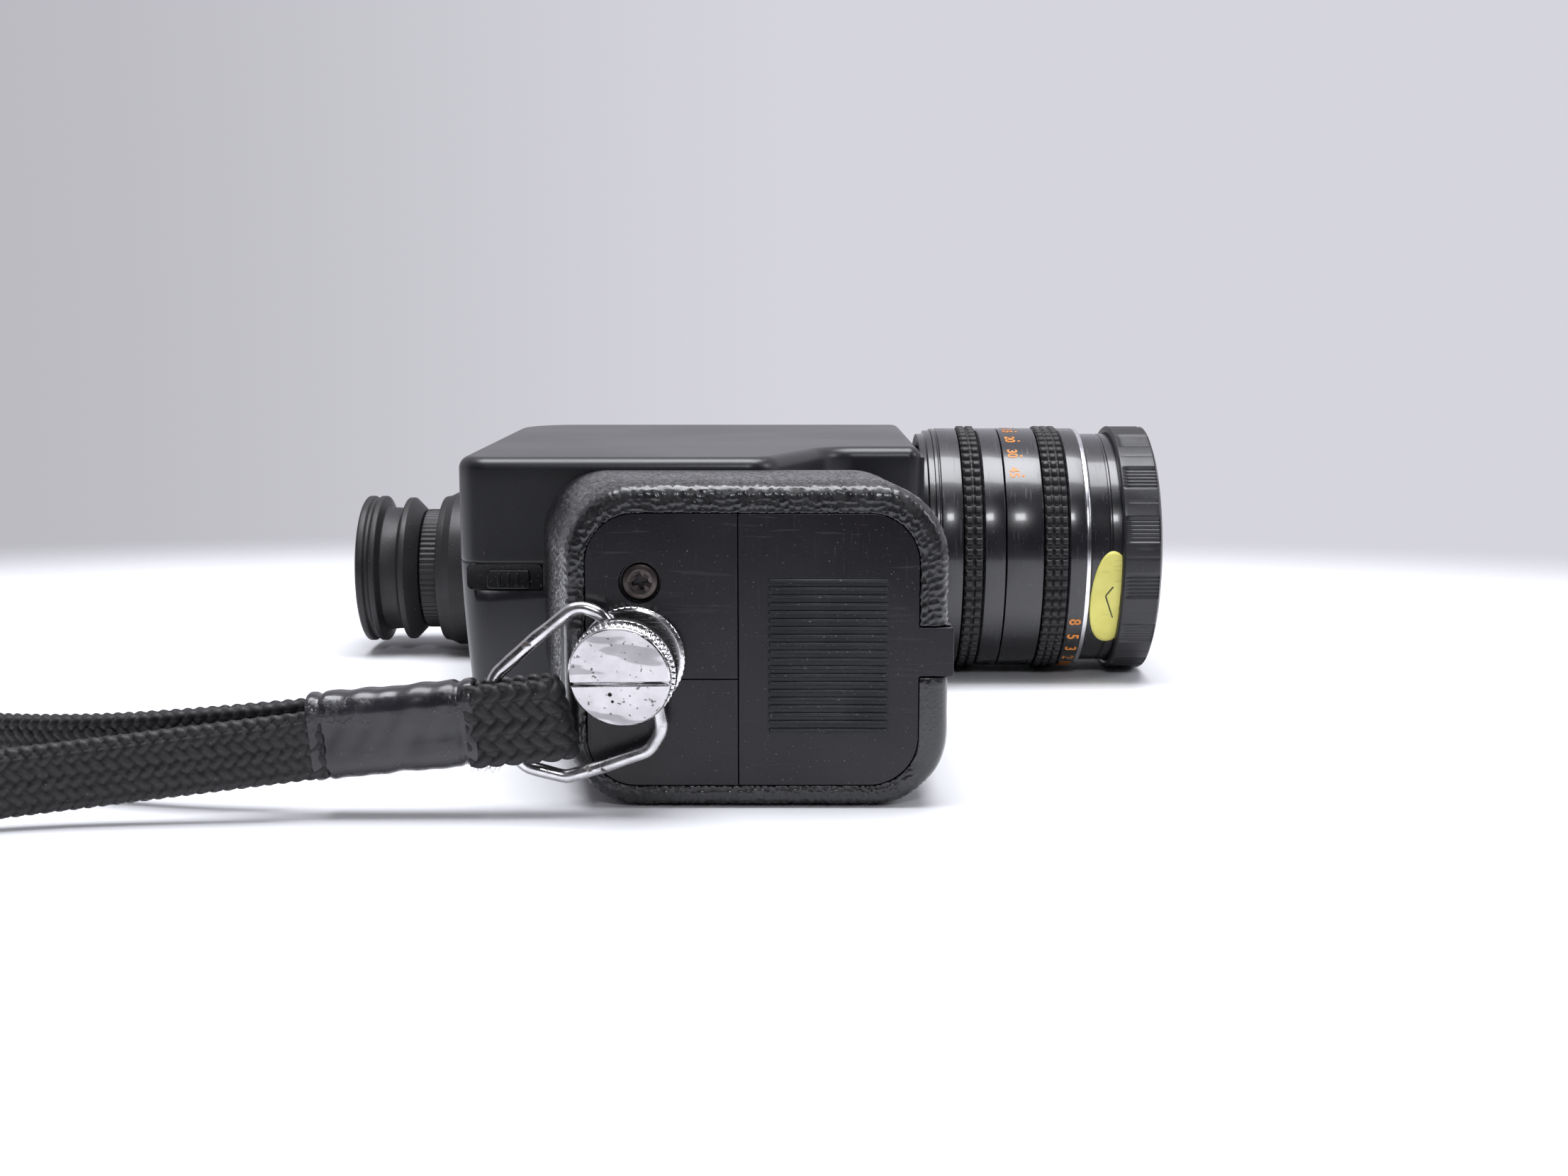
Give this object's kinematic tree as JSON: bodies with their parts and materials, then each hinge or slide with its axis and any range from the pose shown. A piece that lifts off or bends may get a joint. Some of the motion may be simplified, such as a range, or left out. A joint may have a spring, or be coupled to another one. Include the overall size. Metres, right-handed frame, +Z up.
{
  "type": "cine camera",
  "caption": "Pistol-grip cine camera with zoom lens, eyepiece, battery grip and wrist strap, lying on its side.",
  "frame": {"origin": "under the middle of the camera's outline, on the surface it lies on", "axes": "+X forward along the lens axis, +Y from the grip's end towards the camera's top, +Z up through the camera's right side"},
  "size_m": [0.3274, 0.22, 0.0569],
  "materials": {
    "housing_plastic": "satin black, slightly worn",
    "smooth_plastic": "smooth dark grey black",
    "leatherette": "coarse grained, glossy black",
    "lens_black": "semi-gloss black anodised",
    "grip_rubber": "black moulded rubber",
    "bright_chrome": "polished, pitted",
    "cast_alloy": "as cast",
    "steel": "bright steel",
    "brass": "turned brass",
    "optical_glass": "coated optical glass",
    "gear_plastic": "natural nylon",
    "board_green": "green lacquered board",
    "cell_can": "plain wrapped steel can",
    "braid": "plaited black nylon",
    "sleeve_plastic": "scuffed black vinyl",
    "yellow_paper": "pale yellow label"
  },
  "bodies": {
    "camera": {"body_shell_right": "housing_plastic", "body_shell_left": "housing_plastic", "chassis": "cast_alloy", "film_gate": "steel", "film_claw": "steel", "circuit_board": "board_green", "door_hinge_pin": "steel", "accessory_shoe": "steel", "front_plate": "lens_black", "drive_shaft": "steel", "drive_motor": "steel", "lens_core": "lens_black", "lens_flange": "lens_black", "fixed_ring": "lens_black", "scale_ring": "lens_black", "relay_lens": "optical_glass", "eyepiece_tube": "lens_black", "eyepiece_base": "housing_plastic", "eyecup": "grip_rubber", "eye_lens": "optical_glass", "finder_tube": "lens_black", "finder_prism": "optical_glass", "grip_skin": "leatherette", "grip_plinth": "housing_plastic", "grip_shell_right": "smooth_plastic", "grip_shell_left": "smooth_plastic", "grip_base": "smooth_plastic", "base_screw": "lens_black", "tripod_bush": "brass", "cover_hinge_pin": "steel", "dry_cells": "cell_can", "trigger_spring": "steel", "strap_screw": "bright_chrome"},
    "film_door": {"film_door": "housing_plastic"},
    "door_latch": {"door_latch": "smooth_plastic"},
    "battery_cover": {"battery_cover": "smooth_plastic", "cover_contact": "brass"},
    "zoom_ring": {"zoom_ring": "lens_black", "zoom_grip": "grip_rubber"},
    "variator": {"variator_cell": "lens_black", "variator_lens": "optical_glass"},
    "focus_ring": {"focus_ring": "lens_black", "focus_grip": "grip_rubber", "trim_ring": "bright_chrome", "front_barrel": "lens_black", "front_element": "optical_glass", "inspection_sticker": "yellow_paper"},
    "lens_cap": {"lens_cap": "smooth_plastic"},
    "diopter_ring": {"diopter_ring": "lens_black"},
    "trigger": {"trigger": "smooth_plastic"},
    "zoom_rocker": {"zoom_rocker": "smooth_plastic"},
    "speed_dial": {"speed_dial": "smooth_plastic"},
    "drive_gear": {"drive_gear": "gear_plastic"},
    "motor_rotor": {"motor_pinion": "brass"},
    "take_up": {"take_up_spindle": "gear_plastic"},
    "shutter": {"shutter_disc": "lens_black"},
    "strap": {"strap_bail": "bright_chrome", "strap_ferrule": "sleeve_plastic", "strap_fold": "braid", "wrist_strap": "braid"}
  },
  "joints": [
    {"name": "film_door_swing", "type": "hinge", "parent": "camera", "child": "film_door", "pos_m": [0.02055, 0.0499, 0.002], "axis": [0, -1, 0], "range_deg": [0, 95]},
    {"name": "door_latch_slide", "type": "slide", "parent": "camera", "child": "door_latch", "axis": [-1, 0, 0], "range_m": [0, 0.003]},
    {"name": "battery_cover_swing", "type": "hinge", "parent": "camera", "child": "battery_cover", "pos_m": [0.0036, -0.08165, 0.0274], "axis": [0, 0, -1], "range_deg": [0, 95]},
    {"name": "zoom_turn", "type": "hinge", "parent": "camera", "child": "zoom_ring", "pos_m": [0.03965, 0.0447, 0.0285], "axis": [1, 0, 0], "range_deg": [0, 120]},
    {"name": "variator_slide", "type": "slide", "parent": "camera", "child": "variator", "axis": [1, 0, 0], "range_m": [0, 0.012]},
    {"name": "focus_turn", "type": "hinge", "parent": "camera", "child": "focus_ring", "pos_m": [0.03965, 0.0447, 0.0285], "axis": [1, 0, 0], "range_deg": [-60, 90]},
    {"name": "cap_pull", "type": "slide", "parent": "focus_ring", "child": "lens_cap", "axis": [1, 0, 0], "range_m": [0, 0.03]},
    {"name": "diopter_turn", "type": "hinge", "parent": "camera", "child": "diopter_ring", "pos_m": [-0.07735, 0.0687, 0.02], "axis": [1, 0, 0], "range_deg": [-45, 45]},
    {"name": "trigger_press", "type": "slide", "parent": "camera", "child": "trigger", "axis": [-1, 0, 0], "range_m": [0, 0.003], "stiffness_N_per_m": 300},
    {"name": "zoom_rocker_tilt", "type": "hinge", "parent": "camera", "child": "zoom_rocker", "pos_m": [0.00165, 0.0871, 0.0435], "axis": [0, 0, 1], "range_deg": [-6, 6], "stiffness_Nm_per_rad": 0.05},
    {"name": "speed_dial_turn", "type": "hinge", "parent": "camera", "child": "speed_dial", "pos_m": [-0.03835, 0.0897, 0.043], "axis": [0, 1, 0], "range_deg": [0, 120]},
    {"name": "drive_spin", "type": "hinge", "parent": "camera", "child": "drive_gear", "pos_m": [-0.00435, 0.0347, 0.0309], "axis": [0, 0, 1], "continuous": true},
    {"name": "motor_spin", "type": "hinge", "parent": "camera", "child": "motor_rotor", "pos_m": [-0.00435, 0.0167, 0.0309], "axis": [0, 0, 1], "continuous": true},
    {"name": "take_up_spin", "type": "hinge", "parent": "camera", "child": "take_up", "pos_m": [-0.02617, 0.0473, 0.0309], "axis": [0, 0, 1], "continuous": true},
    {"name": "shutter_spin", "type": "hinge", "parent": "camera", "child": "shutter", "pos_m": [0.02725, 0.0537, 0.033], "axis": [1, 0, 0], "continuous": true},
    {"name": "strap_swivel", "type": "hinge", "parent": "camera", "child": "strap", "pos_m": [-0.01595, -0.0877, 0.0264], "axis": [0, 1, 0], "range_deg": [-10, 60]}
  ],
  "couplings": [
    {"joint": "variator_slide", "follows": "zoom_turn", "m_per_rad": 0.0055},
    {"joint": "motor_spin", "follows": "drive_spin", "ratio": -4},
    {"joint": "take_up_spin", "follows": "drive_spin", "ratio": -1.3333},
    {"joint": "shutter_spin", "follows": "drive_spin", "ratio": 4}
  ]
}
